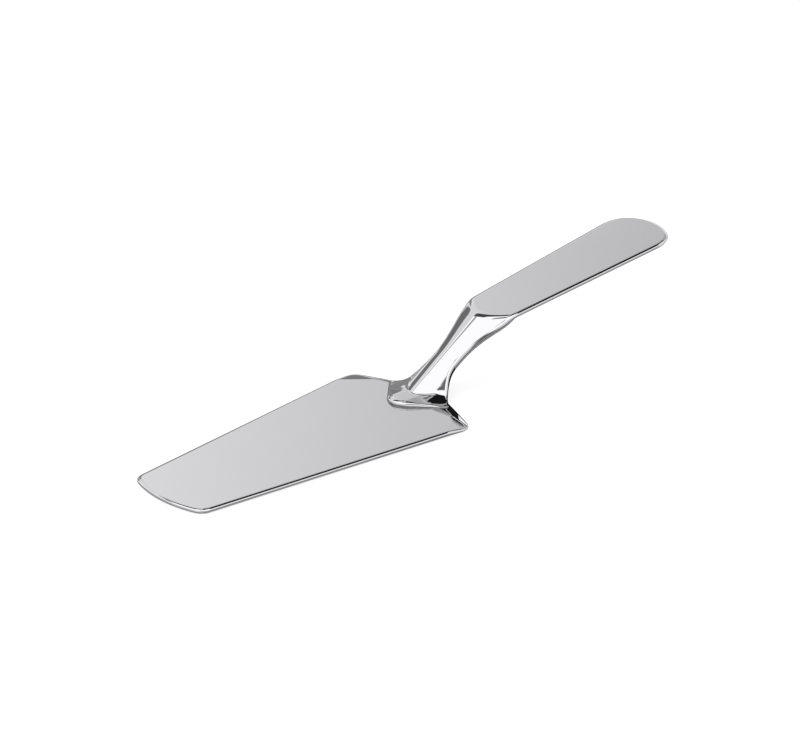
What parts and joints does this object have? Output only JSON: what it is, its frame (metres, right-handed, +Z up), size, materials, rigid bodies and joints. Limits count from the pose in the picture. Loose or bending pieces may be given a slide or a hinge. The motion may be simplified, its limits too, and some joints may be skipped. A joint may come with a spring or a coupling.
{
  "type": "cake server",
  "caption": "Cake server: flat tapered blade with a slightly bowed tip, and a cranked handle whose rounded foot is brazed onto the blade and whose flat grip rises behind it.",
  "frame": {"origin": "centre of the server's length and width, on the flat underside of the blade that it rests on", "axes": "+X from the blade's tip towards the handle's end, +Y to the left seen from the tip end looking along +X, +Z up from the table"},
  "size_m": [0.254, 0.0654, 0.0367],
  "materials": {
    "polished_steel": "mirror-polished stainless steel sheet, with fine hairlines",
    "silver_braze": "silver braze, polished over with the sheet"
  },
  "bodies": {
    "root": {"blade": "polished_steel", "handle": "polished_steel", "braze_seam": "silver_braze"}
  },
  "joints": []
}
